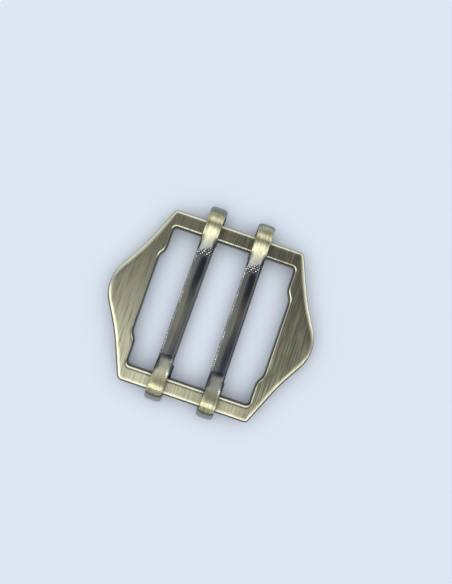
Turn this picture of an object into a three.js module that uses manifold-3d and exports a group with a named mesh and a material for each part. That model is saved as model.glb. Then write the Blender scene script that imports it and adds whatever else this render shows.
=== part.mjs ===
// Double-bar buckle slider for a 32 mm (1 1/4 in) strap, in millimetres, +Z up.
//
// A flat hexagonal frame has a straight rail along its top and bottom and a broad wing on each side.
// Two loose bars lie across the window. Each end of a bar is a closed hook round a rail, so that the bar
// slides along the rails and grips the strap against the edge of a wing.
//
// The slider lies on its back on Z = 0, resting on the bars' folded lips. +X runs along the rails, the way
// the bars slide. +Y runs along the bars, across the strap. +Z points out of the brushed face.

import * as THREE from "three";
import { mergeVertices } from "three/addons/utils/BufferGeometryUtils.js";
import Module from "manifold-3d";

// ---------------------------------------------------------------- driving dimensions

// Frame
const STRAP_WINDOW = 32; // window height between the rails, the strap's nominal width
const RAIL_WIDTH = 3.82;
const FRAME_THICKNESS = 3;
const FRAME_WIDTH = 47.1; // wing tip to wing tip
const FRAME_EDGE_ROUND = 0.55; // rounding of every frame edge
const OUTER_CORNER_RADIUS = 1.2;
const WING_TIP_RADIUS = 8.8;
const WING_FLANK_ANGLE = 30.5; // degrees from Y, beside the tip
const WING_ROOT_ANGLE = 23; // degrees from Y, beside the rail
const WING_BEND_Y = 9.9; // height at which the two flank lines cross
const WING_BEND_REACH = 3.2; // how far the hollow bend runs along each line

// Window
const WINDOW_WIDTH = 30.5; // between the wings, where the strap folds over a bar
const NUB_WINDOW_WIDTH = 28.3; // between the nubs that stop the bars
const NUB_STEP_Y = 9.75; // middle of the step from wing edge to nub
const NUB_STEP_LENGTH = 3.6;
const WINDOW_CORNER_RADIUS = 0.8;

// Bars
const HOOK_CLEARANCE = 0.3; // above and below the rail, inside a hook
const HOOK_WALL = 1.3; // metal above and below the rail
const HOOK_WIDTH = 3.85;
const HOOK_EDGE_ROUND = 0.45;
const HOOK_TIP = 22.6; // the bar's middle to a hook's outer end
const HOOK_CREST = 18.4; // the bar's middle to the highest point over the rail
const HOOK_ROOT = 10.7; // where the rise from the shank begins
const RISE_FOOT_EASE = 1.5; // how far the rise leaves the shank's line gently
const RISE_CREST_EASE = 3.4; // how far it comes gently up to the crest
const EYE_START = 15; // the eye round the rail, from the bar's middle
const EYE_END = 20.9;
const EYE_CORNER_RADIUS = 0.5;
const EYE_SHOULDER_RADIUS = 0.9; // the corner over the rail's inner edge, rounder to leave metal in the rise
const LIP_TIP = 13.9; // the folded lip's end, under the shank
const SHANK_WIDTH = 3.65;
const SHANK_HALF_HEIGHT = 1.1;
const SHANK_SIDE_TOP = 0.3; // the shank's crowned top starts this far above its middle
const CREASE_Y = 21.05; // crease round the crimped end, from the bar's middle
const CREASE_RADIUS = 6; // its curve, seen from above
const CREASE_WIDTH = 0.2;
const CREASE_FLOOR = 1.95; // height of its bottom

// Where the pieces stand. Each bar sits a little off centre and off square, by its play on the rails.
const FRAME_Y = -0.5;
const LEFT_BAR = { x: -6.12, y: 0.25, leanDegrees: -0.75 };
const RIGHT_BAR = { x: 5.55, y: 0.15, leanDegrees: 0.36 };

// How finely curves are cut
const ARC_STEPS = 8;
const BEND_STEPS = 8;
const EDGE_STEPS = 3;

// ---------------------------------------------------------------- helpers

const radians = THREE.MathUtils.degToRad;

const wasm = await Module();
wasm.setup();

function toSolid(geometry) {
  const bare = geometry.clone();
  bare.deleteAttribute("normal");
  bare.deleteAttribute("uv");
  const merged = mergeVertices(bare, 1e-4);
  return new wasm.Manifold(
    new wasm.Mesh({
      numProp: 3,
      vertProperties: merged.attributes.position.array,
      triVerts: new Uint32Array(merged.index.array),
    }),
  );
}

function toGeometry(solid) {
  const { vertProperties, triVerts } = solid.getMesh();
  const geometry = new THREE.BufferGeometry();
  geometry.setAttribute("position", new THREE.BufferAttribute(vertProperties, 3));
  geometry.setIndex(new THREE.BufferAttribute(triVerts, 1));
  geometry.computeVertexNormals();
  return geometry;
}

// A loop without its repeated points.
function withoutRepeats(loop) {
  return loop.filter((p, i) => p.distanceTo(loop[(i + 1) % loop.length]) > 1e-3);
}

// The closed loop made by mirroring a quarter outline, which runs from the X axis to the Y axis.
function fourQuarters(quarter) {
  const mirrored = (sx, sy) => quarter.map((p) => new THREE.Vector2(sx * p.x, sy * p.y));
  const loop = [
    ...mirrored(1, 1),
    ...mirrored(-1, 1).reverse(),
    ...mirrored(-1, -1),
    ...mirrored(1, -1).reverse(),
  ];
  return withoutRepeats(loop);
}

// ---------------------------------------------------------------- frame

const frameHeight = STRAP_WINDOW + 2 * RAIL_WIDTH;

// A quarter of the outside: round wing tip, straight flank, hollow bend, straight root, round corner.
function frameQuarter() {
  const flank = radians(WING_FLANK_ANGLE);
  const root = radians(WING_ROOT_ANGLE);
  const tipCentre = FRAME_WIDTH / 2 - WING_TIP_RADIUS;
  const tipEnd = new THREE.Vector2(
    tipCentre + WING_TIP_RADIUS * Math.cos(flank),
    WING_TIP_RADIUS * Math.sin(flank),
  );
  const bend = new THREE.Vector2(tipEnd.x - (WING_BEND_Y - tipEnd.y) * Math.tan(flank), WING_BEND_Y);
  const along = (angle) => new THREE.Vector2(-Math.sin(angle), Math.cos(angle));
  const bendStart = bend.clone().addScaledVector(along(flank), -WING_BEND_REACH);
  const bendEnd = bend.clone().addScaledVector(along(root), WING_BEND_REACH);

  const top = frameHeight / 2;
  const cornerX = bend.x - (top - bend.y) * Math.tan(root);
  const cornerReach = OUTER_CORNER_RADIUS * Math.tan((Math.PI / 2 - root) / 2);
  const cornerCentreX = cornerX - cornerReach;

  const outline = new THREE.Path();
  outline.absarc(tipCentre, 0, WING_TIP_RADIUS, 0, flank, false);
  outline.lineTo(bendStart.x, bendStart.y);
  outline.quadraticCurveTo(bend.x, bend.y, bendEnd.x, bendEnd.y);
  outline.absarc(cornerCentreX, top - OUTER_CORNER_RADIUS, OUTER_CORNER_RADIUS, root, Math.PI / 2, false);
  outline.lineTo(0, top);
  return outline.getPoints(ARC_STEPS);
}

// A quarter of the window: wing edge, step to the nub, nub edge, round corner, rail edge.
function windowQuarter() {
  const wingX = WINDOW_WIDTH / 2;
  const nubX = NUB_WINDOW_WIDTH / 2;
  const top = STRAP_WINDOW / 2;
  const stepStart = NUB_STEP_Y - NUB_STEP_LENGTH / 2;
  const stepEnd = NUB_STEP_Y + NUB_STEP_LENGTH / 2;

  const outline = new THREE.Path();
  outline.moveTo(wingX, 0);
  outline.lineTo(wingX, stepStart);
  outline.bezierCurveTo(wingX, NUB_STEP_Y, nubX, NUB_STEP_Y, nubX, stepEnd);
  outline.absarc(
    nubX - WINDOW_CORNER_RADIUS,
    top - WINDOW_CORNER_RADIUS,
    WINDOW_CORNER_RADIUS,
    0,
    Math.PI / 2,
    false,
  );
  outline.lineTo(0, top);
  return outline.getPoints(BEND_STEPS);
}

function frameGeometry() {
  const shape = new THREE.Shape(fourQuarters(frameQuarter()));
  shape.holes.push(new THREE.Path(fourQuarters(windowQuarter()).reverse()));
  const geometry = new THREE.ExtrudeGeometry(shape, {
    depth: FRAME_THICKNESS - 2 * FRAME_EDGE_ROUND,
    bevelThickness: FRAME_EDGE_ROUND,
    bevelSize: FRAME_EDGE_ROUND,
    bevelOffset: -FRAME_EDGE_ROUND,
    bevelSegments: EDGE_STEPS,
  });
  return geometry.translate(0, 0, -(FRAME_THICKNESS - 2 * FRAME_EDGE_ROUND) / 2);
}

// ---------------------------------------------------------------- sliding bar

const eyeTop = FRAME_THICKNESS / 2 + HOOK_CLEARANCE;
const hookTop = eyeTop + HOOK_WALL;

// Side view of one hook without its eye: x is the distance from the bar's middle, y is height. The outline
// goes up from the shank, over the rail, round the outer end and back under the rail to the folded lip's end.
function hookOutline() {
  const undersideEnd = HOOK_CREST + 0.6;
  const lipRadius = HOOK_WALL / 2;
  const outline = new THREE.Path();
  outline.moveTo(HOOK_ROOT, SHANK_HALF_HEIGHT);
  outline.bezierCurveTo(
    HOOK_ROOT + RISE_FOOT_EASE,
    SHANK_HALF_HEIGHT,
    HOOK_CREST - RISE_CREST_EASE,
    hookTop,
    HOOK_CREST,
    hookTop,
  );
  outline.absellipse(HOOK_CREST, 0, HOOK_TIP - HOOK_CREST, hookTop, Math.PI / 2, 0, true, 0);
  outline.absellipse(undersideEnd, 0, HOOK_TIP - undersideEnd, hookTop, 0, -Math.PI / 2, true, 0);
  outline.absarc(LIP_TIP + lipRadius, -hookTop + lipRadius, lipRadius, -Math.PI / 2, -Math.PI, true);
  outline.lineTo(LIP_TIP, -SHANK_HALF_HEIGHT);
  outline.lineTo(HOOK_ROOT, -SHANK_HALF_HEIGHT);
  return new THREE.Shape(withoutRepeats(outline.getPoints(ARC_STEPS)));
}

// Side view of the eye round the rail, with the slot that parts the folded lip from the shank above it.
function eyeOutline() {
  const r = EYE_CORNER_RADIUS;
  const shoulder = EYE_SHOULDER_RADIUS;
  const lipStart = LIP_TIP + HOOK_WALL / 2;
  const outline = new THREE.Path();
  outline.moveTo(HOOK_ROOT, -SHANK_HALF_HEIGHT);
  outline.lineTo(LIP_TIP - 0.1, -eyeTop - HOOK_WALL / 2);
  outline.lineTo(LIP_TIP, -eyeTop - HOOK_WALL / 2);
  outline.quadraticCurveTo(LIP_TIP, -eyeTop, lipStart, -eyeTop);
  outline.absarc(EYE_END - r, -eyeTop + r, r, -Math.PI / 2, 0, false);
  outline.absarc(EYE_END - r, eyeTop - r, r, 0, Math.PI / 2, false);
  outline.absarc(EYE_START + shoulder, eyeTop - shoulder, shoulder, Math.PI / 2, Math.PI, false);
  outline.lineTo(EYE_START, -SHANK_HALF_HEIGHT);
  return new THREE.Shape(withoutRepeats(outline.getPoints(ARC_STEPS)));
}

// Turns a side view, extruded along +Z, so that it reaches out along +Y with its height along +Z.
function standAlongBar(geometry) {
  const alongBar = new THREE.Matrix4().makeBasis(
    new THREE.Vector3(0, 1, 0),
    new THREE.Vector3(0, 0, 1),
    new THREE.Vector3(1, 0, 0),
  );
  return toSolid(geometry.applyMatrix4(alongBar));
}

// A hook with rounded edges, HOOK_WIDTH across X, reaching out along +Y.
function hookSolid() {
  const depth = HOOK_WIDTH - 2 * HOOK_EDGE_ROUND;
  const body = new THREE.ExtrudeGeometry(hookOutline(), {
    depth,
    bevelThickness: HOOK_EDGE_ROUND,
    bevelSize: HOOK_EDGE_ROUND,
    bevelOffset: -HOOK_EDGE_ROUND,
    bevelSegments: EDGE_STEPS,
  });
  const eyeDepth = HOOK_WIDTH + 2;
  const eye = new THREE.ExtrudeGeometry(eyeOutline(), { depth: eyeDepth, bevelEnabled: false });
  return standAlongBar(body.translate(0, 0, -depth / 2)).subtract(
    standAlongBar(eye.translate(0, 0, -eyeDepth / 2)),
  );
}

// The curved crease across a hook's outer end, where the folded metal meets the brushed top.
function creaseSolid() {
  const spread = Math.asin((HOOK_WIDTH / 2 + 0.2) / CREASE_RADIUS);
  const ring = new THREE.Shape();
  ring.absarc(0, 0, CREASE_RADIUS, Math.PI / 2 - spread, Math.PI / 2 + spread, false);
  ring.absarc(0, 0, CREASE_RADIUS - CREASE_WIDTH, Math.PI / 2 + spread, Math.PI / 2 - spread, true);
  const geometry = new THREE.ExtrudeGeometry(ring, {
    depth: hookTop,
    curveSegments: ARC_STEPS,
    bevelEnabled: false,
  });
  return toSolid(geometry.translate(0, CREASE_Y - CREASE_RADIUS, CREASE_FLOOR));
}

// The shank between the hooks: a D section, flat below and crowned on top.
function shankSolid() {
  const half = SHANK_WIDTH / 2;
  const corner = 0.35;
  const bottom = -SHANK_HALF_HEIGHT;
  const crown = SHANK_HALF_HEIGHT - SHANK_SIDE_TOP;
  const section = new THREE.Path();
  section.moveTo(-half + corner, bottom);
  section.absarc(half - corner, bottom + corner, corner, -Math.PI / 2, 0, false);
  section.absellipse(0, SHANK_SIDE_TOP, half, crown, 0, Math.PI, false, 0);
  section.absarc(-half + corner, bottom + corner, corner, Math.PI, 1.5 * Math.PI, false);
  const outline = new THREE.Shape(withoutRepeats(section.getPoints(ARC_STEPS)));
  const length = 2 * (HOOK_ROOT + 1.2);
  const geometry = new THREE.ExtrudeGeometry(outline, { depth: length, bevelEnabled: false });
  geometry.translate(0, 0, -length / 2);
  return toSolid(geometry.rotateX(Math.PI / 2));
}

// One casting: the shank, a plain hook at its +Y end and a crimped hook at its -Y end.
function barGeometry() {
  const plainHook = hookSolid();
  const crimpedHook = hookSolid().subtract(creaseSolid()).rotate([0, 0, 180]);
  return toGeometry(shankSolid().add(plainHook).add(crimpedHook));
}

// ---------------------------------------------------------------- assembly

const brushedBrass = new THREE.MeshStandardMaterial({ color: 0xa39c78, roughness: 0.36, metalness: 1 });
const barBrass = new THREE.MeshStandardMaterial({ color: 0x8a8468, roughness: 0.3, metalness: 1 });

function barMesh(name, { x, y, leanDegrees }) {
  const mesh = new THREE.Mesh(barGeometry(), barBrass);
  mesh.name = name;
  mesh.position.set(x, y, hookTop);
  mesh.rotation.z = radians(leanDegrees);
  return mesh;
}

const slider = new THREE.Group();

const frame = new THREE.Mesh(frameGeometry(), brushedBrass);
frame.name = "hex_frame";
frame.position.set(0, FRAME_Y, hookTop);
slider.add(frame);
slider.add(barMesh("left_slide_bar", LEFT_BAR));
slider.add(barMesh("right_slide_bar", RIGHT_BAR));

export default slider;
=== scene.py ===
"""A double-bar buckle slider in brushed antique brass, lying on a pale table.

The slider is one cast hexagonal frame and two loose bars hooked round its rails. Lengths below are in
millimetres unless a name says otherwise. Meshes are made in metres, in the row frame: X along the rails,
Y along the bars, Z up.
"""

import math

import bpy
import numpy as np
from mathutils import Matrix, Vector


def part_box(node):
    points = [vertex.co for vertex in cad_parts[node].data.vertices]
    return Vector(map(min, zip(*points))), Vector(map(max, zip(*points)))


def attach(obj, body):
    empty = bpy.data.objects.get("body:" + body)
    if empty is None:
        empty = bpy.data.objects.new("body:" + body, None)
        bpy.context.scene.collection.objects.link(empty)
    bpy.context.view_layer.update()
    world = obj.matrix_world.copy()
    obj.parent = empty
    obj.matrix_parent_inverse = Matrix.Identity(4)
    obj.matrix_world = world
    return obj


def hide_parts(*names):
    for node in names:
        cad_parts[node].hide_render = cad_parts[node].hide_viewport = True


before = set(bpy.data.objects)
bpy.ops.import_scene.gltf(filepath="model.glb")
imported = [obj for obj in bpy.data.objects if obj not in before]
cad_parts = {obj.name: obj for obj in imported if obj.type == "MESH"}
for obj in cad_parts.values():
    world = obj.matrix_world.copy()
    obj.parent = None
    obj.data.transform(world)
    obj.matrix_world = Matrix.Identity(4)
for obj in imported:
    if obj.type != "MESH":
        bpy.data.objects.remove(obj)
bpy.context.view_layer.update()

MM = 0.001

# ---------------------------------------------------------------- dimensions


def middle_and_reach(node):
    """The middle of a CAD node's box, and how far the box reaches from it along each axis."""
    low, high = (np.array(corner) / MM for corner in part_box(node))
    return (low + high) / 2, (high - low) / 2


# Frame outline and window, measured from the frame's own middle
FRAME_MIDDLE, FRAME_REACH = middle_and_reach("hex_frame")
WING_TIP_X, FRAME_HALF_HEIGHT, FRAME_HALF_THICKNESS = FRAME_REACH
WING_TIP_RADIUS = 8.8
WING_FLANK_ANGLE = math.radians(30.5)
WING_ROOT_ANGLE = math.radians(23)
WING_BEND_Y = 9.9
WING_BEND_REACH = 3.2
OUTER_CORNER_RADIUS = 1.2
WINDOW_HALF_HEIGHT = 15.95
WINDOW_HALF_WIDTH = 15.25
NUB_HALF_WIDTH = 14.15
NUB_STEP_Y = 9.75
NUB_STEP_LENGTH = 3.6
WINDOW_CORNER_RADIUS = 0.8
RAIL_EDGE_ROUND = 0.8  # how far the rounding of a rail's outer upper edge runs in
FAR_WING_EDGE_ROUND = 1.4  # the same on the wings, on the far half
NEAR_WING_EDGE_ROUND = 0.95  # and on the near half
WINDOW_EDGE_ROUND = 0.6  # the same round the window
NEAR_WINDOW_EDGE_ROUND = 0.95  # and along the near rail
TOP_EDGE_DROP = 0.7  # how far the rounding runs down the wall
BACK_EDGE_ROUND = 0.45
RIM_WIDTH = 1.3  # the strip inside the outer edge that handling keeps bright

# Bars, measured from the bar's middle: "far" is the end at +Y and "near" the one at -Y
SHANK_WIDTH = 3.65
SHANK_HALF_HEIGHT = 1.1
SHANK_LEFT_ARRIS = -0.15  # where the flat crown of the shank meets its sloping left and right facets
SHANK_RIGHT_ARRIS = 1.1
SHANK_LEFT_SLOPE = math.tan(math.radians(9))
SHANK_RIGHT_SLOPE = math.tan(math.radians(28))
HOOK_WIDTH = 3.65
LIP_WIDTH = 3.85
FAR_HOOK_ROOT = 11.0  # where the rise from the shank begins
NEAR_HOOK_ROOT = 11.8
FAR_HOOK_CREST = 18.6  # the highest point over the rail
NEAR_HOOK_CREST = 18.95
HOOK_TIP = 22.6
HOOK_END_POWER = 1.7  # a superellipse's, below 2 so that the end falls away early
FAR_RISE_FOOT_EASE = 3.0  # how far the rise leaves the shank's line gently
NEAR_RISE_FOOT_EASE = 1.8
RISE_CREST_EASE = 3.2  # how far it comes gently up to the crest
EYE_START = 15.0
EYE_END = 20.9
EYE_HALF_HEIGHT = 1.8
EYE_CORNER_RADIUS = 0.5
EYE_SHOULDER_RADIUS = 0.9
HOOK_HALF_HEIGHT = 3.1
UNDERSIDE_END = 18.9
LIP_TIP = 13.9
NEAR_LIP_SHIFT = 0.25  # the near lips are folded a little to the right of their hooks
CREASE_Y = 21.05
CREASE_RADIUS = 6.0

# How each bar lies and how it is coated, with some painted reflection in the coat. "lean" is its turn on the
# rails.
# "far_coat" is where the far hook's coat begins again past its bright top. "black" holds the blue-black
# stripes painted on the shank's crown as a painted reflection of the dark overhead: where each begins to
# darken, where it is full and where it ends. "facet" is how pale the left facet is painted, a painted
# reflection of the bright room.
# "near_coat" is the share of coat left on the near rise, and "near_dark" how much darker the near half of
# the shank is.
LEFT_BAR = {
    "middle": middle_and_reach("left_slide_bar")[0],
    "lean": math.radians(-0.75),
    "seed": 3,
    "far_coat": 20.9,
    "black": [(-2.5, 7.0, 10.3)],
    "facet": 0.55,
    "near_coat": 0.3,
    "near_dark": 0.7,
}
RIGHT_BAR = {
    "middle": middle_and_reach("right_slide_bar")[0],
    "lean": math.radians(0.36),
    "seed": 8,
    "far_coat": 21.6,
    "black": [(-0.5, 8.0, 10.3), (1.0, -8.0, -12.8)],
    "facet": 0.48,
    "near_coat": 0.86,
    "near_dark": 0.84,
}

# Knurl
KNURL_PITCH = 0.54
KNURL_ANGLE = math.radians(38)
KNURL_FLATNESS = 3  # a higher power gives wider tops and narrower grooves
WORN_KNURL_DEPTH = 0.09
HATCH_PITCH = 0.48
HATCH_SLANT = 0.8  # rise along the bar for each unit across it

# Camera, which looks almost straight down
CAMERA_HEIGHT = 150.0  # above the frame's face
CAMERA_TURN = math.radians(19.0)
CAMERA_LENS = 42.07

# Meshes
BAR_COLUMNS = 144
FLOOR_HALF_M = 2.0

# Colours, linear
GROOVE_BLACK = (0.008, 0.008, 0.01, 1)
TABLE_LOW = (0.69, 0.74, 0.79, 1)
TABLE_HIGH = (0.715, 0.765, 0.815, 1)
OVERHEAD_DARK = (0.09, 0.09, 0.125, 1)
BACKDROP = (0.70, 0.78, 0.88, 1)


# ---------------------------------------------------------------- small mesh tools


def smoothstep(low, high, value):
    t = np.clip((value - low) / (high - low), 0.0, 1.0)
    return t * t * (3 - 2 * t)


def arc(centre, radius_x, radius_y, start, end, count):
    """Points of an elliptical arc, both ends included."""
    angles = np.linspace(start, end, count)
    return np.stack(
        [centre[0] + radius_x * np.cos(angles), centre[1] + radius_y * np.sin(angles)], 1
    )


def line(start, end, count):
    t = np.linspace(0, 1, count)[:, None]
    return np.array(start)[None] * (1 - t) + np.array(end)[None] * t


def superellipse(centre_x, radius_x, radius_y, power, count):
    """A quarter of a superellipse on the X axis, from its top to its outer end."""
    angles = np.linspace(math.pi / 2, 0, count)
    across = np.clip(np.cos(angles), 0, 1) ** (2 / power)
    up = np.clip(np.sin(angles), 0, 1) ** (2 / power)
    return np.stack([centre_x + radius_x * across, radius_y * up], 1)


def bezier(p0, p1, p2, p3, count):
    t = np.linspace(0, 1, count)[:, None]
    p0, p1, p2, p3 = (np.array(p, float)[None] for p in (p0, p1, p2, p3))
    return p0 * (1 - t) ** 3 + 3 * p1 * t * (1 - t) ** 2 + 3 * p2 * t * t * (1 - t) + p3 * t**3


def join(*runs):
    """One polyline from runs that share their end points."""
    return np.concatenate([runs[0]] + [run[1:] for run in runs[1:]])


def resample(points, fractions):
    """Points at the given fractions of a polyline's length."""
    steps = np.linalg.norm(np.diff(points, axis=0), axis=1)
    length = np.concatenate([[0], np.cumsum(steps)])
    at = np.asarray(fractions) * length[-1]
    return np.stack([np.interp(at, length, points[:, k]) for k in range(points.shape[1])], 1)


def grid_faces(rows, columns, wrap_rows, wrap_columns):
    """Quads of a grid of vertices numbered row by row."""
    r = np.arange(rows if wrap_rows else rows - 1)
    c = np.arange(columns if wrap_columns else columns - 1)
    r, c = (a.ravel() for a in np.meshgrid(r, c, indexing="ij"))
    r2 = (r + 1) % rows
    c2 = (c + 1) % columns
    return np.stack([r * columns + c, r * columns + c2, r2 * columns + c2, r2 * columns + c], 1)


def grid_normals(grid, wrap_rows, wrap_columns):
    """Unit normals of a (rows, columns, 3) grid, from the differences between neighbours."""

    def difference(axis, wrap):
        if wrap:
            return np.roll(grid, -1, axis) - np.roll(grid, 1, axis)
        return np.gradient(grid, axis=axis)

    normal = np.cross(difference(1, wrap_columns), difference(0, wrap_rows))
    return normal / np.maximum(np.linalg.norm(normal, axis=2, keepdims=True), 1e-12)


def add_piece(name, vertices_mm, faces, masks):
    """A smooth-shaded mesh object with one float attribute per mask."""
    mesh = bpy.data.meshes.new(name)
    mesh.from_pydata((vertices_mm * MM).tolist(), [], faces)
    mesh.update()
    mesh.polygons.foreach_set("use_smooth", [True] * len(mesh.polygons))
    for mask_name, values in masks.items():
        layer = mesh.attributes.new(mask_name, "FLOAT", "POINT")
        layer.data.foreach_set("value", np.ascontiguousarray(values, np.float32).ravel())
    piece = bpy.data.objects.new(name, mesh)
    bpy.context.scene.collection.objects.link(piece)
    return piece


# ---------------------------------------------------------------- frame


def frame_quarter():
    """The outside from the wing tip to the middle of the rail, as three runs: wing, corner, rail."""
    tip_centre = WING_TIP_X - WING_TIP_RADIUS
    tip_arc = arc((tip_centre, 0), WING_TIP_RADIUS, WING_TIP_RADIUS, 0, WING_FLANK_ANGLE, 40)
    tip_end = tip_arc[-1]
    bend_x = tip_end[0] - (WING_BEND_Y - tip_end[1]) * math.tan(WING_FLANK_ANGLE)
    bend = np.array([bend_x, WING_BEND_Y])
    flank = np.array([-math.sin(WING_FLANK_ANGLE), math.cos(WING_FLANK_ANGLE)])
    root = np.array([-math.sin(WING_ROOT_ANGLE), math.cos(WING_ROOT_ANGLE)])
    bend_start = bend - WING_BEND_REACH * flank
    bend_end = bend + WING_BEND_REACH * root
    third = (bend_start + 2 * bend) / 3
    two_thirds = (bend_end + 2 * bend) / 3
    r = OUTER_CORNER_RADIUS
    corner_x = bend_x - (FRAME_HALF_HEIGHT - WING_BEND_Y) * math.tan(WING_ROOT_ANGLE)
    centre = (corner_x - r * math.tan((math.pi / 2 - WING_ROOT_ANGLE) / 2), FRAME_HALF_HEIGHT - r)
    corner = arc(centre, r, r, WING_ROOT_ANGLE, math.pi / 2, 30)
    wing = join(
        tip_arc,
        line(tip_end, bend_start, 10),
        bezier(bend_start, third, two_thirds, bend_end, 30),
        line(bend_end, corner[0], 20),
    )
    return wing, corner, line(corner[-1], (0, FRAME_HALF_HEIGHT), 10)


def window_quarter():
    """The window's edge, in the same three runs."""
    r = WINDOW_CORNER_RADIUS
    step_start = NUB_STEP_Y - NUB_STEP_LENGTH / 2
    step_end = NUB_STEP_Y + NUB_STEP_LENGTH / 2
    corner = arc((NUB_HALF_WIDTH - r, WINDOW_HALF_HEIGHT - r), r, r, 0, math.pi / 2, 30)
    wing = join(
        line((WINDOW_HALF_WIDTH, 0), (WINDOW_HALF_WIDTH, step_start), 20),
        bezier(
            (WINDOW_HALF_WIDTH, step_start),
            (WINDOW_HALF_WIDTH, NUB_STEP_Y),
            (NUB_HALF_WIDTH, NUB_STEP_Y),
            (NUB_HALF_WIDTH, step_end),
            40,
        ),
        line((NUB_HALF_WIDTH, step_end), corner[0], 10),
    )
    return wing, corner, line(corner[-1], (0, WINDOW_HALF_HEIGHT), 10)


def closed_loop(quarter_runs):
    """Evenly spaced points round the whole outline, which is symmetric in X and Y."""
    counts = (84, 12, 44)
    runs = [
        resample(run, np.linspace(0, 1, count + 1))
        for run, count in zip(quarter_runs, counts)
    ]
    quarter = join(*runs)
    flip_x = np.array([-1, 1])
    half = join(quarter, (quarter * flip_x)[::-1])
    return join(half, (half * np.array([1, -1]))[::-1])[:-1]


def outward_normals(loop):
    """Unit normals pointing away from a counter-clockwise loop's inside."""
    tangent = np.roll(loop, -1, 0) - np.roll(loop, 1, 0)
    normal = np.stack([tangent[:, 1], -tangent[:, 0]], 1)
    return normal / np.linalg.norm(normal, axis=1, keepdims=True)


def frame_section():
    """The cross-section from the outer wall over the face to the window's wall and back underneath.

    Each entry is (inset, height, share of the way across the face, whether it's on the upper rounding).
    An inset on the upper rounding is a share of the rounding's width, and any other is a length.
    """
    top = FRAME_HALF_THICKNESS
    angles = np.linspace(0, math.pi / 2, 12)
    over = [(1 - math.cos(a), top - TOP_EDGE_DROP * (1 - math.sin(a))) for a in angles]
    under = [
        (BACK_EDGE_ROUND * (1 - math.cos(a)), -top + BACK_EDGE_ROUND * (1 - math.sin(a)))
        for a in np.linspace(0, math.pi / 2, 6)
    ]
    walls = np.linspace(under[0][1], over[0][1], 5)[1:-1]
    entries = []
    entries += [(inset, z, 0.0, False) for inset, z in reversed(under)]
    entries += [(0.0, z, 0.0, False) for z in walls]
    entries += [(inset, z, 0.0, True) for inset, z in over]
    entries += [(1.0, top, share, True) for share in np.linspace(0, 1, 14)[1:-1]]
    entries += [(inset, z, 1.0, True) for inset, z in reversed(over)]
    entries += [(0.0, z, 1.0, False) for z in walls[::-1]]
    entries += [(inset, z, 1.0, False) for inset, z in under]
    entries += [(BACK_EDGE_ROUND, -top, share, False) for share in np.linspace(1, 0, 9)[1:-1]]
    return entries


def edge_roundings(outer, inner_normal):
    """How far the upper rounding runs in from the outline and from the window, at each point round them."""
    wing = smoothstep(14.5, 17.5, np.abs(outer[:, 0]))
    far_half = smoothstep(-4.0, 4.0, outer[:, 1])
    wing_round = NEAR_WING_EDGE_ROUND + (FAR_WING_EDGE_ROUND - NEAR_WING_EDGE_ROUND) * far_half
    outer_round = RAIL_EDGE_ROUND + (wing_round - RAIL_EDGE_ROUND) * wing
    near_window = smoothstep(0.4, 0.9, -inner_normal[:, 1])
    window_round = WINDOW_EDGE_ROUND + (NEAR_WINDOW_EDGE_ROUND - WINDOW_EDGE_ROUND) * near_window
    return outer_round[:, None], window_round[:, None]


def frame_grid(outer, outer_normal, inner, inner_normal):
    """The frame's surface as a grid: rows round the outline, columns round the cross-section.

    Also the share of the way across the face at each place, and its distance in from the outline.
    """
    outer_round, window_round = edge_roundings(outer, inner_normal)
    places = []
    shares = []
    distances = []
    for inset, z, share, on_rounding in frame_section():
        from_outside = outer - outer_normal * inset * (outer_round if on_rounding else 1)
        from_window = inner + inner_normal * inset * (window_round if on_rounding else 1)
        flat = from_outside * (1 - share) + from_window * share
        places.append(np.column_stack([flat, np.full(len(flat), z)]))
        shares.append(np.full(len(flat), share))
        distances.append(np.linalg.norm(flat - outer, axis=1))
    return np.stack(places, 1), np.stack(shares, 1), np.stack(distances, 1)


def frame_masks(grid, normal, share, distance, outer, outer_normal):
    """Where the frame is brushed, worn bare along its edges with painted sheen and painted shade set by
    which way its walls face, handled bright, and calmly brushed.
    """
    up = normal[..., 2]
    at_window = smoothstep(0.4, 0.6, share)
    wing = smoothstep(14.5, 17.5, np.abs(outer[:, 0]))[:, None]
    near_rail = smoothstep(-15.0, -17.0, grid[..., 1])
    near_rail = near_rail * (1 - smoothstep(13.0, 16.0, np.abs(grid[..., 0])))
    rim = np.maximum(1 - smoothstep(0.3, RIM_WIDTH, distance), 0.1 * near_rail)
    # Near walls keep their coat further up, far ones are rubbed a little paler
    # Painted shade on the near walls: they keep the dark coat further up their rounding and, on the wings,
    # get less of the pale colour
    near_wall = smoothstep(0.1, -0.4, outer_normal[:, 1])[:, None] * (1 - at_window)
    brushed = smoothstep(0.6 + 0.14 * near_wall, 0.8 + 0.1 * near_wall, up)
    wear_and_sheen = smoothstep(0.7 + 0.14 * near_wall, 0.86 + 0.06 * near_wall, up)
    wear_and_sheen *= 1 - smoothstep(0.95, 0.998, up)
    wear_and_sheen *= 1 - 0.75 * (near_wall * wing)
    # Painted highlight: of the window's edges, only those facing far or left keep the full pale colour
    faces_far = smoothstep(0.0, 0.3, normal[..., 1])
    faces_left = smoothstep(0.0, -0.3, normal[..., 0])
    wear_and_sheen *= 1 - 0.75 * at_window * (1 - np.maximum(faces_far, faces_left))
    # Painted highlight on the far walls, given some of the pale colour
    far_wall = smoothstep(0.1, 0.5, normal[..., 1]) * (1 - at_window)
    wear_and_sheen = np.maximum(wear_and_sheen, 0.4 * far_wall * (1 - smoothstep(0.8, 0.95, up)))
    return {"brushed": brushed, "wear_and_sheen": wear_and_sheen, "rim": rim, "calm": near_rail}


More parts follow.
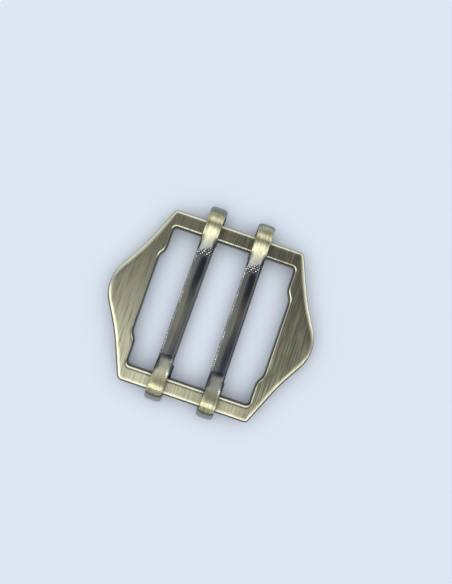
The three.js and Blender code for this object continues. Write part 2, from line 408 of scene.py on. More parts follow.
def build_frame():
    outer = closed_loop(frame_quarter())
    inner = closed_loop(window_quarter())
    outer_normal = outward_normals(outer)
    inner_normal = outward_normals(inner)
    grid, share, distance = frame_grid(outer, outer_normal, inner, inner_normal)
    normal = grid_normals(grid, True, True)
    # A column on the upper face tells which way the normals point
    on_face = grid.shape[1] // 2 - 6
    if normal[0, on_face, 2] < 0:
        normal = -normal
    masks = frame_masks(grid, normal, share, distance, outer, outer_normal)
    placed = (grid + FRAME_MIDDLE).reshape(-1, 3)
    faces = grid_faces(*grid.shape[:2], True, True)[:, ::-1]
    return add_piece("brushed_frame", placed, faces.tolist(), masks)


# ---------------------------------------------------------------- bars


def hook_rungs(root, foot_ease, crest):
    """Side view of one hook as matching runs: the outside and the inside, from the bar's middle to the lip.

    Each row is (distance along the bar, height) of an outside point, then the same of the inside point.
    """
    top = HOOK_HALF_HEIGHT
    eye = EYE_HALF_HEIGHT
    shank = SHANK_HALF_HEIGHT
    shoulder = EYE_SHOULDER_RADIUS
    r = EYE_CORNER_RADIUS
    wall_foot_radius = 0.3
    quarter_turn = math.pi / 2
    # Where the rungs start and stop following the eye's wall, measured outside, and the start inside
    wall_start = 14.2
    wall_start_inside = 14.5
    wall_end = 16.4

    rise = bezier(
        (root, shank),
        (root + foot_ease, shank),
        (crest - RISE_CREST_EASE, top),
        (crest, top),
        200,
    )
    runs = []

    def pair(outside, inside, spacing):
        longest = max(
            np.linalg.norm(np.diff(outside, axis=0), axis=1).sum(),
            np.linalg.norm(np.diff(inside, axis=0), axis=1).sum(),
        )
        t = np.linspace(0, 1, max(3, int(longest / spacing) + 1))
        runs.append(np.hstack([resample(outside, t), resample(inside, t)]))

    def rise_part(low, high):
        inside = (rise[:, 0] >= low - 1e-9) & (rise[:, 0] <= high + 1e-9)
        ends = [(x, np.interp(x, rise[:, 0], rise[:, 1])) for x in (low, high)]
        return np.concatenate([[ends[0]], rise[inside][1:-1], [ends[1]]])

    # The shank, then the rise up to where the eye begins
    pair(line((0, shank), (root, shank), 2), line((0, -shank), (root, -shank), 2), 0.08)
    pair(
        rise_part(root, wall_start),
        line((root, -shank), (wall_start_inside, -shank), 2),
        0.08,
    )
    # Over the rail's inner edge, where the inside turns up the eye's wall
    foot = (EYE_START - wall_foot_radius, -shank + wall_foot_radius)
    eye_wall = join(
        line((wall_start_inside, -shank), (foot[0], -shank), 2),
        arc(foot, wall_foot_radius, wall_foot_radius, -quarter_turn, 0, 6),
        line((EYE_START, foot[1]), (EYE_START, eye - shoulder), 3),
        arc((EYE_START + shoulder, eye - shoulder), shoulder, shoulder, math.pi, quarter_turn, 9),
    )
    pair(rise_part(wall_start, wall_end), eye_wall, 0.12)
    pair(rise_part(wall_end, crest), line(eye_wall[-1], (crest, eye), 2), 0.12)
    # Round the outer end
    reach = HOOK_TIP - crest
    outer_top = join(
        line((crest, eye), (EYE_END - r, eye), 2),
        arc((EYE_END - r, eye - r), r, r, quarter_turn, 0, 8),
        line((EYE_END, eye - r), (EYE_END, 0), 2),
    )
    pair(superellipse(crest, reach, top, HOOK_END_POWER, 90), outer_top, 0.1)
    outer_bottom = join(
        line((EYE_END, 0), (EYE_END, -eye + r), 2),
        arc((EYE_END - r, -eye + r), r, r, 0, -quarter_turn, 8),
        line((EYE_END - r, -eye), (UNDERSIDE_END, -eye), 2),
    )
    pair(
        arc((UNDERSIDE_END, 0), HOOK_TIP - UNDERSIDE_END, top, 0, -quarter_turn, 60), outer_bottom, 0.12
    )
    # The folded lip, ending in a rounded tip
    pair(
        line((UNDERSIDE_END, -top), (LIP_TIP + 0.5, -top), 2),
        line((UNDERSIDE_END, -eye), (LIP_TIP + 0.5, -eye), 2),
        0.2,
    )
    return join(*runs)


def lip_tip_rungs():
    """The last few rungs of a lip, drawing in to a rounded end."""
    rungs = []
    for a in np.linspace(0, math.pi / 2, 7)[1:]:
        y = LIP_TIP + 0.5 * (1 - math.sin(a))
        draw = 0.35 * (1 - math.cos(a))
        rungs.append((y, -HOOK_HALF_HEIGHT + draw, y, -EYE_HALF_HEIGHT - draw))
    return np.array(rungs)


def section_loop(width, thickness, crown_x, crown_z, count):
    """A rounded rectangle, crowned on its outside, as (across, up from the inside) pairs.

    It starts at the middle of the outside. crown_x and crown_z are the outside corners' radii.
    """
    half = width / 2
    quarter = math.pi / 2
    inner = min(0.35, thickness * 0.4)
    crown_z = min(crown_z, thickness - inner)
    outer_corner = arc((half - crown_x, thickness - crown_z), crown_x, crown_z, quarter, 0, 30)
    inner_corner = arc((half - inner, inner), inner, inner, 0, -quarter, 12)
    right = join(
        line((0, thickness), outer_corner[0], 12),
        outer_corner,
        line(outer_corner[-1], inner_corner[0], 12),
        inner_corner,
        line(inner_corner[-1], (0, 0), 12),
    )
    left = (right * np.array([-1, 1]))[::-1]
    loop = join(right, left)
    return resample(loop, np.arange(count) / count)


def facet_fall(x):
    """How far the shank's upper face lies below its flat crown, at each place across the bar."""
    left = np.logaddexp(0, (SHANK_LEFT_ARRIS - x) / 0.05) * 0.05
    right = np.logaddexp(0, (x - SHANK_RIGHT_ARRIS) / 0.05) * 0.05
    return SHANK_LEFT_SLOPE * left + SHANK_RIGHT_SLOPE * right


def bar_rungs():
    """Side view of the whole bar, from the near lip over the shank to the far lip."""
    tip = lip_tip_rungs()
    far = np.concatenate([hook_rungs(FAR_HOOK_ROOT, FAR_RISE_FOOT_EASE, FAR_HOOK_CREST), tip])
    near = np.concatenate([hook_rungs(NEAR_HOOK_ROOT, NEAR_RISE_FOOT_EASE, NEAR_HOOK_CREST), tip])
    near = near[1:][::-1]
    near[:, 0] *= -1
    near[:, 2] *= -1
    return np.concatenate([near, far])


def bar_section(along, height, thickness):
    """The section at one rung, as (across, up from the inside) pairs.

    along is the distance from the bar's middle, and height is that of the rung's outside end.
    """
    hook = float(smoothstep(FAR_HOOK_ROOT - 0.6, 15.0, along))
    lip_end = 1.0
    if height < 0:
        hook = 1.0
    if height < -2:
        lip_end = max(0.0, min(1.0, (along - LIP_TIP) / 0.5))
    width = SHANK_WIDTH + (HOOK_WIDTH - SHANK_WIDTH) * hook
    width += (LIP_WIDTH - HOOK_WIDTH) * hook * float(smoothstep(1.5, -0.5, height))
    width -= 0.7 * (1 - math.sqrt(max(0.0, 1 - (1 - lip_end) ** 2)))
    crown_x = 0.4 + 0.7 * hook
    crown_z = 0.4 + 0.2 * hook
    if height < -1:
        crown_z = 0.4
        crown_x = 0.4 + 0.55 * float(smoothstep(-3.1, -1.0, height))
    loop = section_loop(width, thickness, crown_x, crown_z, BAR_COLUMNS)
    faceted = (1 - float(smoothstep(13.5, 16.5, along))) * (height > 0)
    share_up = smoothstep(0.3, 0.9, loop[:, 1] / max(thickness, 1e-6))
    loop[:, 1] -= faceted * share_up * facet_fall(loop[:, 0])
    return loop


def bar_grid():
    """The bar's surface as a grid: rows along the bar's path from lip to lip, columns round its section."""
    rungs = bar_rungs()
    rows = []
    for out_y, out_z, in_y, in_z in rungs:
        inside = np.array([in_y, in_z])
        direction = np.array([out_y, out_z]) - inside
        thickness = np.linalg.norm(direction)
        if thickness < 1e-6:
            direction = np.array([0.0, -1.0])
        else:
            direction = direction / thickness
        loop = bar_section(abs(out_y), out_z, thickness)
        side = inside[None] + direction[None] * loop[:, 1:]
        shift = NEAR_LIP_SHIFT * float(smoothstep(0.0, -2.0, out_z)) * (out_y < 0)
        shift *= float(smoothstep(22.0, 18.0, abs(out_y)))
        rows.append(np.column_stack([loop[:, 0] + shift, side]))
    return np.array(rows), rungs


def knurl_height(along, around):
    """Height of a diamond knurl, 1 on a diamond's top and 0 in a groove."""
    lean = along * math.sin(KNURL_ANGLE)
    across = around * math.cos(KNURL_ANGLE)
    grooves = [
        (0.5 + 0.5 * np.cos(2 * math.pi * (across + side * lean) / KNURL_PITCH)) ** KNURL_FLATNESS
        for side in (1, -1)
    ]
    return 1 - np.maximum(*grooves)


def ragged(grid, seed):
    """Gentle noise from a few sine waves, between about -1 and 1."""
    rng = np.random.default_rng(seed)
    total = np.zeros(grid.shape[:2])
    for _ in range(7):
        kx, ky = rng.normal(0, 2.6, 2)
        total += np.sin(kx * grid[..., 0] + ky * grid[..., 1] + rng.uniform(0, 6.28))
    return total / 3.5


def crease_line(x):
    """How far out the crease of the folded end lies, at each place across the bar."""
    return CREASE_Y - (CREASE_RADIUS - np.sqrt(CREASE_RADIUS**2 - x * x))


def far_brushing(x, y, noise, coat_again):
    """The far hook's brushing, which runs out towards the shank in a long ragged fade."""
    edge = 12.2 + 0.3 * x + 0.35 * noise
    share = smoothstep(edge + 1.0, edge + 5.5, y)
    share *= smoothstep(-1.9, -1.0, x + 1.4 * smoothstep(13.5, 16.0, y))
    return share * (1 - 0.9 * smoothstep(coat_again - 0.5, coat_again + 0.7, y + 0.12 * x * x))


def near_brushing(x, y, noise, coat):
    """The near hook's brushing, from a straight edge across the shank to the crease."""
    edge = 12.75 + 0.1 * noise
    share = smoothstep(edge - 0.15, edge + 0.15, -y)
    share *= 0.1 + 0.9 * smoothstep(13.4, 18.6, -y)
    share *= smoothstep(-1.6, 0.2, x + 2.2 * smoothstep(14.0, 18.5, -y) + 0.3 * noise)
    share *= 1 - coat * (1 - smoothstep(16.0, 19.5, -y))
    dark_line = 1 - smoothstep(0.0, 0.16, np.abs(x - 0.8))
    share *= 1 - 0.6 * dark_line * smoothstep(17.0, 14.0, -y)
    crease = crease_line(x)
    return share * (1 - smoothstep(crease - 0.12, crease - 0.04, -y))


def worn_knurl_bands(x, y, up):
    """Where the knurl's tops are worn bright.

    A slanting band lies beside the far brushing and runs down the left edge, and a fainter one lies on the
    near hook's right edge.
    """
    middle = 11.8 + 0.55 * x - 0.12 * x * x
    slanting = smoothstep(middle - 0.8, middle - 0.4, y)
    slanting *= 1 - smoothstep(middle + 0.5, middle + 1.5, y)
    left_edge = 1 - smoothstep(-1.55, -1.3, x)
    left_edge = left_edge * smoothstep(8.6, 9.4, y) * (1 - smoothstep(11, 12, y))
    ridge = smoothstep(1.0, 1.2, x) * (1 - smoothstep(1.45, 1.65, x)) * smoothstep(0.1, 0.3, up)
    near = 0.5 * ridge * smoothstep(12.2, 12.6, -y) * (1 - smoothstep(13.0, 15.0, -y))
    return np.maximum(np.maximum(slanting, left_edge) * smoothstep(0.35, 0.75, up), near)


def bar_masks(grid, normal, rungs, stance):
    """Where the bar is brushed bright, where its knurl is worn bright, and how deep the knurl is."""
    x, y = grid[..., 0], grid[..., 1]
    up = normal[..., 2]
    noise = ragged(grid, stance["seed"])
    outside = (rungs[:, 1] > 0)[:, None]
    far = far_brushing(x, y, noise, stance["far_coat"])
    near = near_brushing(x, y, noise, stance["near_coat"])
    brushed = np.maximum(far, near) * smoothstep(0.35, 0.75, up) * outside
    sparkle = worn_knurl_bands(x, y, up)
    # The knurl itself: faint on the shank's facets, deeper at its ends and edges
    shank = 1 - smoothstep(13.0, 14.6, np.abs(y))
    left_facet = 1 - smoothstep(-0.9, -0.5, x)
    depth = 0.004 + 0.006 * left_facet + 0.03 * smoothstep(1.2, 1.6, np.abs(x))
    depth = np.maximum(depth * shank, WORN_KNURL_DEPTH * sparkle) * outside
    return brushed, sparkle, depth * smoothstep(-0.3, 0.2, up)


def edge_hatching(x, y, normal, stance):
    """Slanting cuts along the shank's left edge and the near hook's right edge: bright lands, dark cuts."""
    up = smoothstep(0.05, 0.3, normal[..., 2])
    patches = ragged(np.stack([np.zeros_like(y), 0.6 * y], -1), stance["seed"] + 40)
    left = (1 - smoothstep(-1.55, -1.4, x)) * (1 - smoothstep(11.5, 12.5, np.abs(y)))
    left *= 0.35 + 0.65 * smoothstep(-0.3, 0.5, patches)
    right = smoothstep(1.15, 1.3, x) * (1 - smoothstep(1.5, 1.65, x))
    right *= smoothstep(12.4, 12.8, -y) * (1 - smoothstep(15.5, 17.5, -y))
    land = 0.5 + 0.5 * np.cos(2 * math.pi * (y - HATCH_SLANT * x) / HATCH_PITCH)
    bright = left * smoothstep(0.45, 0.8, land) + right * (0.3 + 0.6 * smoothstep(0.3, 0.7, land))
    dark = left * smoothstep(0.45, 0.15, land)
    return bright * up, dark * up


def shank_tones(x, y, stance):
    """How pale and how olive the coat is on the shank, which has a left facet, a crown and a right edge; the
    pale facet, edges and sides and the blue-black stripes are painted reflections.
    """
    noise = ragged(np.stack([x * 0.5, y * 0.35], -1), stance["seed"] + 20)
    streaks = ragged(np.stack([x * 2.6, y * 0.12], -1), stance["seed"] + 30)
    wavy_x = x + 0.12 * noise
    left = 1 - smoothstep(-0.85, 0.05, wavy_x)
    right = smoothstep(0.6, 1.4, wavy_x)
    edges = smoothstep(1.35, 1.6, np.abs(x))
    # Blue-black stripes, a painted reflection of the dark overhead
    stripes = np.zeros_like(x)
    for start, full, end in stance["black"]:
        stripe = smoothstep(start, full, y) * smoothstep(end + math.copysign(1.2, end), end, y)
        stripes = np.maximum(stripes, stripe)
    stripes = stripes * smoothstep(-0.8, -0.1, wavy_x) * (1 - right)

    crown = 0.3 - 0.14 * smoothstep(-0.1, 0.6, x) + 0.08 * noise + 0.08 * streaks
    # Painted reflection: the left facet and right edge are painted paler than the crown
    tone = crown + left * (stance["facet"] + 0.1 * streaks - crown) + right * (0.75 - crown)
    # The near half is coated darker, all but its right edge
    tone *= 1 - stance["near_dark"] * smoothstep(6.0, -9.0, y) * (1 - smoothstep(1.1, 1.5, x))
    tone *= 1 - 0.93 * stripes
    # Painted highlight on the shank's rounded sides
    tone = tone + edges * (0.95 - tone)
    # Painted highlight at the foot of the near rise, where it mirrors the dark overhead
    tone *= 1 + 0.8 * np.exp(-(((y + 12.2) / 0.4) ** 2)) * smoothstep(-0.9, -0.1, x)

    olive = (1 - smoothstep(0.0, 14.0, np.abs(y + 2.5))) * (0.62 + 0.2 * noise + 0.15 * streaks)
    olive = np.clip(olive + 0.14, 0, 1) * (1 - right) * (1 - stripes) * (1 - edges)
    return tone, olive * (1 - 0.4 * smoothstep(4.0, -9.0, y))


def coat_tones(grid, normal, rungs, sparkle, stance):
    """How pale the bar's dark coat is, from 0 for blue black to 1 for grey, and how olive it is, with
    painted shade and a painted reflection in it.
    """
    x, y = grid[..., 0], grid[..., 1]
    tone, olive = shank_tones(x, y, stance)
    # Beyond the shank the coat is an even grey, warmer on the near hooks, and paler past the near crease as
    # a painted reflection of the table
    near_hook = smoothstep(12.5, 13.3, -y)
    far_hook = smoothstep(11.8, 13.2, y)
    past_crease = smoothstep(19.5, 20.2, -y)
    near_tone = 0.73 * (1 - stance["near_dark"]) + 0.9 * past_crease
    near_olive = 0.35 + 0.3 * smoothstep(14.5, 18.0, -y) - 0.1 * past_crease
    tone = tone + far_hook * (0.5 - tone) + near_hook * (near_tone - tone)
    olive = olive + far_hook * (0.3 - olive) + near_hook * (near_olive - olive)
    tone *= 1 - 0.75 * sparkle
    # Painted shade: nearly black down the sides of the hooks, underneath and on the lips
    side = smoothstep(0.55, 0.85, np.abs(normal[..., 0])) * np.maximum(near_hook, far_hook)
    under = 1 - smoothstep(-0.4, 0.0, normal[..., 2])
    lip = smoothstep(-0.5, -1.5, rungs[:, 1])[:, None]
    keep = 1 - np.maximum(np.maximum(0.85 * side, under), 0.9 * lip)
    return np.clip(tone * keep, 0, 1.2), olive * keep


def wear_masks(grid, normal, diamonds, sparkle, depth, stance):
    """Where the knurl's tops and the hatching's lands are bare, where the shank's sides carry a painted
    sheen, and where their cuts stay dark.
    """
    shank_side = 1 - smoothstep(0.1, 0.8, np.abs(normal[..., 2]))
    shank_side = shank_side * (1 - smoothstep(12.0, 13.5, np.abs(grid[..., 1])))
    patchy = smoothstep(-0.5, 0.3, ragged(grid * 4, 5))
    tops = sparkle * smoothstep(0.88, 0.99, diamonds) * patchy
    # Painted highlight along the shank's sides
    tops = np.maximum(tops, 0.35 * shank_side * smoothstep(0.3, 0.9, diamonds))
    lands, cuts = edge_hatching(grid[..., 0], grid[..., 1], normal, stance)
    grooves = np.where(depth > 1e-4, 1 - diamonds, 0.0) * smoothstep(0.0, 0.03, depth)
    return np.maximum(tops, lands), np.maximum(grooves * (1 - lands), cuts)


def stood_on_rails(grid, stance):
    """The bar's points turned by its lean and moved to where it lies."""
    cosine, sine = math.cos(stance["lean"]), math.sin(stance["lean"])
    x, y, z = grid.reshape(-1, 3).T
    turned = np.column_stack([x * cosine - y * sine, x * sine + y * cosine, z])
    return turned + stance["middle"]


def build_bar(name, stance):
    grid, rungs = bar_grid()
    normal = grid_normals(grid, False, True)
    if normal[len(rungs) // 2, 0, 2] < 0:
        normal = -normal
    brushed, sparkle, depth = bar_masks(grid, normal, rungs, stance)
    steps = np.linalg.norm(np.diff(grid, axis=1), axis=2)
    around = np.concatenate([np.zeros((len(grid), 1)), np.cumsum(steps, axis=1)], 1)
    diamonds = knurl_height(grid[..., 1], around)
    # The crease in the near end, with the folded metal a little lower before it than beyond it
    near_top = (grid[..., 1] < -20) & (rungs[:, 1] > 0)[:, None]
    beyond = -grid[..., 1] - crease_line(np.clip(grid[..., 0], -2, 2))
    dent = -0.1 * np.exp(-(((beyond - 0.02) / 0.09) ** 2))
    dent = dent - 0.05 * (1 - smoothstep(-0.1, 0.05, beyond))
    offset = (diamonds - 1) * depth + np.where(near_top, dent, 0.0)
    grid = grid + normal * offset[..., None]

    wear_and_sheen, dark_cuts = wear_masks(grid, normal, diamonds, sparkle, depth, stance)
    # A dark line painted along the near end's crease: painted shade in the fold
    seam = np.exp(-(((beyond - 0.1) / 0.22) ** 2))
    groove = np.maximum(dark_cuts, np.where(near_top, seam, 0.0))
    tone, olive = coat_tones(grid, normal, rungs, sparkle, stance)
    rows, columns = grid.shape[:2]
    faces = grid_faces(rows, columns, False, True).tolist()
    faces.append(list(range(columns))[::-1])
    faces.append([(rows - 1) * columns + k for k in range(columns)])
    masks = {"brushed": brushed, "wear_and_sheen": wear_and_sheen, "groove": groove, "tone": tone, "olive": olive}
    return add_piece(name, stood_on_rails(grid, stance), faces, masks)


# ---------------------------------------------------------------- materials


class Nodes:
    """A short way to write a node tree."""

    def __init__(self, tree):
        self.tree = tree
        tree.nodes.clear()

    def add(self, kind, inputs=None, **settings):
        node = self.tree.nodes.new(kind)
        for key, value in settings.items():
            setattr(node, key, value)
        for key, value in (inputs or {}).items():
            self.set(node.inputs[key], value)
        return node

    def set(self, socket, value):
        if isinstance(value, bpy.types.NodeSocket):
            self.tree.links.new(value, socket)
        else:
            socket.default_value = value

    def math(self, operation, a, b=0.0, clamp=False):
        return self.add("ShaderNodeMath", {0: a, 1: b}, operation=operation, use_clamp=clamp).outputs[0]

    def weighted(self, *pairs):
        """The sum of each socket times its weight."""
        scaled = [self.math("MULTIPLY", socket, weight) for socket, weight in pairs]
        total = scaled[0]
        for part in scaled[1:]:
            total = self.math("ADD", total, part)
        return total

    def swing(self, noise, size):
        """A noise centred on zero and scaled."""
        return self.math("MULTIPLY", self.math("SUBTRACT", noise, 0.5), size)

    def ramp(self, value, low, high, to_low=0.0, to_high=1.0):
        inputs = {"Value": value, "From Min": low, "From Max": high, "To Min": to_low, "To Max": to_high}
        node = self.add("ShaderNodeMapRange", inputs, interpolation_type="SMOOTHSTEP")
        return node.outputs["Result"]

    def mix_colour(self, share, a, b):
        node = self.add("ShaderNodeMix", data_type="RGBA")
        self.set(node.inputs[0], share)
        self.set(node.inputs[6], a)
        self.set(node.inputs[7], b)
        return node.outputs[2]

    def mix_value(self, share, a, b):
        return self.add("ShaderNodeMix", {0: share, 2: a, 3: b}, data_type="FLOAT").outputs[0]

    def attribute(self, name):
        return self.add("ShaderNodeAttribute", attribute_name=name).outputs["Fac"]

    def noise(self, vector, scales, detail=2.0, roughness=0.5):
        stretched = self.add("ShaderNodeMapping", {"Vector": vector, "Scale": scales}).outputs[0]
        inputs = {"Vector": stretched, "Scale": 1.0, "Detail": detail, "Roughness": roughness}
        return self.add("ShaderNodeTexNoise", inputs).outputs["Fac"]


def metal_patterns(n, place, fineness):
    """The noises that every plated metal shares: hairlines along Y, soft patches and fine grains."""
    return {
        "broad": n.noise(place, (900 * fineness, 36 * fineness, 300), 2.0, 0.5),
        "fine": n.noise(place, (4500 * fineness, 120 * fineness, 1500), 2.0, 0.65),
        "hair": n.noise(place, (8000, 260, 5000), 2.0, 0.6),
        "patch": n.noise(place, (150, 110, 150), 2.0, 0.5),
        "grains": n.noise(place, (9000, 9000, 9000), 2.0, 0.6),
    }


def hairline_coat(n, place, patterns, calm, right_side_shade):
    """How much of the dark coat the brush left in its hairlines, from 0 to 1.

    Its last argument leaves more of it towards +X, as painted shade on that side.
    """
    lines = n.weighted((patterns["broad"], 0.2), (patterns["fine"], 0.6), (patterns["hair"], 0.2))
    lines = n.math("ADD", lines, n.swing(patterns["patch"], 0.12))
    across_x = n.add("ShaderNodeSeparateXYZ", {0: place}).outputs[0]
    # Painted shade: more coat left towards +X
    lines = n.math("ADD", lines, n.ramp(across_x, -0.02, 0.02, 0.5 * right_side_shade, -0.5 * right_side_shade))
    lines = n.math("ADD", lines, n.math("MULTIPLY", n.attribute("rim"), 0.06))
    return n.ramp(n.mix_value(calm, lines, 0.5), 0.62, 0.36)


def plated_metal(
    name,
    bright,
    residue,
    pale,
    black,
    grey,
    plating_roughness,
    brushed_roughness,
    handled=None,
    olive=None,
    fineness=1.0,
    right_side_shade=0.0,
):
    """Antique plating: a dark coat, brushed back to brass where the 'brushed' mask says.

    bright and residue are the brushed metal and the dark coat left in its hairlines; handled is the
    yellower metal of the 'rim' and pale the metal worn bare in places and a painted sheen in others. Where
    the brush never reached, the coat runs from black to grey with the 'tone' mask, which on the bars also
    carries painted shade and painted reflections, and towards olive with the 'olive' mask.
    """
    material = bpy.data.materials.new(name)
    material.use_nodes = True
    n = Nodes(material.node_tree)
    place = n.add("ShaderNodeTexCoord").outputs["Object"]
    patterns = metal_patterns(n, place, fineness)
    brushed = n.attribute("brushed")
    # Bare wear and painted sheen share one mask
    wear_and_sheen = n.attribute("wear_and_sheen")
    calm = n.math("MULTIPLY", n.attribute("calm"), 0.55)

    coat_left = hairline_coat(n, place, patterns, calm, right_side_shade)
    metal = n.mix_colour(coat_left, bright, residue)
    if handled:
        metal = n.mix_colour(n.math("MULTIPLY", n.attribute("rim"), 0.5), metal, handled)
    metal = n.mix_colour(n.math("MULTIPLY", wear_and_sheen, 0.9), metal, pale)
    uneven = n.math("ADD", n.attribute("tone"), n.swing(patterns["patch"], 0.15))
    uneven = n.math("ADD", uneven, n.swing(patterns["fine"], 0.5))
    dull = n.mix_colour(uneven, black, grey)
    if olive:
        dull = n.mix_colour(n.math("MULTIPLY", n.attribute("olive"), 0.8), dull, olive)
    dull = n.mix_colour(n.math("MULTIPLY", n.attribute("groove"), 0.85), dull, GROOVE_BLACK)
    dull = n.mix_colour(wear_and_sheen, dull, pale)

    grains = patterns["grains"]
    rough_metal = n.mix_value(coat_left, brushed_roughness, brushed_roughness + 0.1)
    rough_dull = n.mix_value(grains, plating_roughness - 0.04, plating_roughness + 0.06)
    grain_height = n.weighted((patterns["fine"], 0.6), (patterns["hair"], 0.4))
    grain_height = n.mix_value(brushed, n.math("MULTIPLY", grains, 0.35), grain_height)
    bump = n.add(
        "ShaderNodeBump",
        {"Strength": n.mix_value(calm, 0.35, 0.0), "Distance": 0.00003, "Height": grain_height},
    )
    shader = n.add(
        "ShaderNodeBsdfPrincipled",
        {
            "Base Color": n.mix_colour(brushed, dull, metal),
            "Metallic": 1.0,
            "Roughness": n.mix_value(brushed, rough_dull, rough_metal),
            "Anisotropic": brushed,
            "Tangent": n.add("ShaderNodeCombineXYZ", {"X": 1.0, "Y": 0.0, "Z": 0.0}).outputs[0],
            "Normal": bump.outputs[0],
        },
    )
    n.add("ShaderNodeOutputMaterial", {"Surface": shader.outputs[0]})
    return material


def table_material():
    material = bpy.data.materials.new("pale_table")
    material.use_nodes = True
    n = Nodes(material.node_tree)
    place = n.add("ShaderNodeTexCoord").outputs["Object"]
    cloud = n.noise(place, (14, 14, 14), 3.0, 0.5)
    colour = n.mix_colour(cloud, TABLE_LOW, TABLE_HIGH)
    shader = n.add(
        "ShaderNodeBsdfPrincipled",
        {"Base Color": colour, "Roughness": 0.75, "Specular IOR Level": 0.2},
    )
    n.add("ShaderNodeOutputMaterial", {"Surface": shader.outputs[0]})
    return material


# ---------------------------------------------------------------- pieces on their bodies

frame_metal = plated_metal(
    "brushed_antique_brass",
    bright=(0.60, 0.575, 0.395, 1),
    residue=(0.19, 0.18, 0.12, 1),
    pale=(0.86, 0.84, 0.64, 1),
    black=(0.05, 0.048, 0.04, 1),
    grey=(0.1, 0.095, 0.07, 1),
    plating_roughness=0.34,
    brushed_roughness=0.34,
    handled=(0.68, 0.655, 0.42, 1),
    # painted shade on the +X wing
    right_side_shade=0.12,
)
bar_metal = plated_metal(
    "dark_plated_brass",
    bright=(0.80, 0.76, 0.49, 1),
    residue=(0.465, 0.43, 0.25, 1),
    pale=(0.90, 0.88, 0.76, 1),
    black=(0.05, 0.053, 0.067, 1),
    grey=(0.36, 0.36, 0.35, 1),
    plating_roughness=0.24,
    brushed_roughness=0.42,
    olive=(0.27, 0.265, 0.165, 1),
    fineness=1.6,
)

frame_piece = build_frame()
frame_piece.data.materials.append(frame_metal)
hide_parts("hex_frame")
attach(frame_piece, "frame")

for bar_name, stance, node, body in (
    ("knurled_bar_left", LEFT_BAR, "left_slide_bar", "left_bar"),
    ("knurled_bar_right", RIGHT_BAR, "right_slide_bar", "right_bar"),
):
    bar = build_bar(bar_name, stance)
    bar.data.materials.append(bar_metal)
    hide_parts(node)
    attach(bar, body)

# ---------------------------------------------------------------- table, light and camera


def add_table():
    half = FLOOR_HALF_M
    corners = [(-half, -half, 0), (half, -half, 0), (half, half, 0), (-half, half, 0)]
    mesh = bpy.data.meshes.new("table_top")
    mesh.from_pydata(corners, [], [(0, 1, 2, 3)])
    mesh.materials.append(table_material())
    table = bpy.data.objects.new("table_top", mesh)
    bpy.context.scene.collection.objects.link(table)


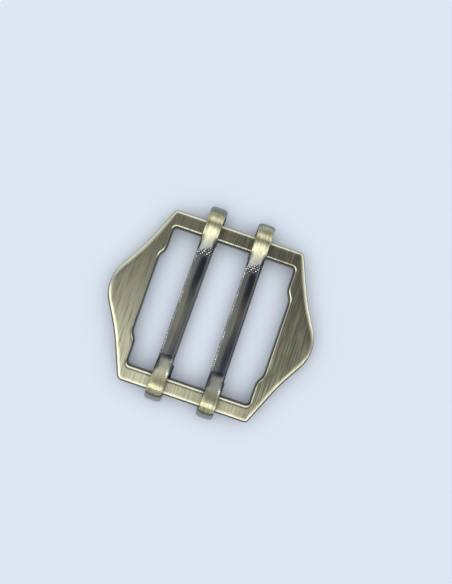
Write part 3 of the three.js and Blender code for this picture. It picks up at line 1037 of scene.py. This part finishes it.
def studio_world():
    """A soft bright room with a dark patch almost overhead, where a camera and its holder would be."""
    world = bpy.data.worlds.new("soft_studio")
    world.use_nodes = True
    n = Nodes(world.node_tree)
    direction = n.add("ShaderNodeTexCoord").outputs["Generated"]
    parts = n.add("ShaderNodeSeparateXYZ", {0: direction})
    height = n.math("MAXIMUM", parts.outputs[2], 0.02)
    across = n.math("DIVIDE", parts.outputs[0], height)
    along = n.math("DIVIDE", parts.outputs[1], height)

    def card(centre_x, centre_y, half_x, half_y, softness):
        """1 inside a soft-edged ellipse on a ceiling one unit up, 0 outside."""
        dx = n.math("DIVIDE", n.math("SUBTRACT", across, centre_x), half_x)
        dy = n.math("DIVIDE", n.math("SUBTRACT", along, centre_y), half_y)
        squared = n.math("ADD", n.math("MULTIPLY", dx, dx), n.math("MULTIPLY", dy, dy))
        return n.ramp(n.math("SQRT", squared), 1 + softness, 1 - softness)

    def grey_of(value):
        """A faintly blue grey of that radiance."""
        parts = {0: n.math("MULTIPLY", value, 0.97), 1: value, 2: n.math("MULTIPLY", value, 1.06)}
        return n.add("ShaderNodeCombineColor", parts).outputs[0]

    # What the metal mirrors: a grey room, bright sides all round, strongest in front, dark overhead
    front = n.math("MULTIPLY", card(-0.4, -0.70, 2.6, 0.62, 0.15), 1.55)
    back = n.math("MULTIPLY", card(0.8, 0.98, 1.7, 0.42, 0.6), 1.55)
    side = n.math("MULTIPLY", card(-1.1, 0.0, 0.8, 0.6, 0.3), 0.4)
    light = n.math("ADD", n.math("ADD", 0.5, side), n.math("ADD", front, back))
    band = n.math("MULTIPLY", card(0.1, 0.13, 1.1, 0.12, 0.45), 0.88)
    light = n.math("MULTIPLY", light, n.math("SUBTRACT", 1.0, band))
    mirrored = n.mix_colour(card(0.2, 0.03, 0.25, 0.2, 0.2), grey_of(light), OVERHEAD_DARK)
    # What lights the table: strongest overhead and a little brighter from the near side
    overhead = n.ramp(parts.outputs[2], 0.15, 1.0, 0.0, 1.64)
    shed = grey_of(n.math("MULTIPLY", n.ramp(along, 1.5, -1.5, 0.94, 1.06), overhead))
    rays = n.add("ShaderNodeLightPath")
    colour = n.mix_colour(rays.outputs["Is Glossy Ray"], shed, mirrored)
    # A pale backdrop where a low camera sees past the table
    colour = n.mix_colour(rays.outputs["Is Camera Ray"], colour, BACKDROP)
    background = n.add("ShaderNodeBackground", {"Color": colour, "Strength": 1.0})
    n.add("ShaderNodeOutputWorld", {"Surface": background.outputs[0]})
    bpy.context.scene.world = world


def add_key_light():
    """A weak warm disk of light from the front left."""
    data = bpy.data.lights.new("key_light", "AREA")
    data.shape = "DISK"
    data.size = 0.5
    data.energy = 0.3
    data.color = (1.0, 0.99, 0.97)
    light = bpy.data.objects.new("key_light", data)
    light.location = Vector((-0.35, -0.55, 0.75))
    light.rotation_euler = (-light.location).to_track_quat("-Z", "Y").to_euler()
    bpy.context.scene.collection.objects.link(light)


def add_camera():
    """Turned about the line of sight, so that the rails run down to the right."""
    face_middle = Vector(FRAME_MIDDLE) + Vector((0, 0, FRAME_HALF_THICKNESS))
    eye = (face_middle + Vector((0.3, -0.5, CAMERA_HEIGHT))) * MM
    target = (face_middle + Vector((1.38, 5.98, 0))) * MM
    up = Vector((-math.sin(CAMERA_TURN), math.cos(CAMERA_TURN), 0))
    back = (eye - target).normalized()
    right = up.cross(back).normalized()
    up = back.cross(right)
    data = bpy.data.cameras.new("camera")
    data.lens = CAMERA_LENS
    data.sensor_width = 36.0
    data.clip_start = 0.01
    camera = bpy.data.objects.new("camera", data)
    camera.matrix_world = Matrix(
        (
            (right.x, up.x, back.x, eye.x),
            (right.y, up.y, back.y, eye.y),
            (right.z, up.z, back.z, eye.z),
            (0, 0, 0, 1),
        )
    )
    bpy.context.scene.collection.objects.link(camera)
    bpy.context.scene.camera = camera


add_table()
studio_world()
add_key_light()
add_camera()
bpy.context.scene.view_settings.view_transform = "Standard"
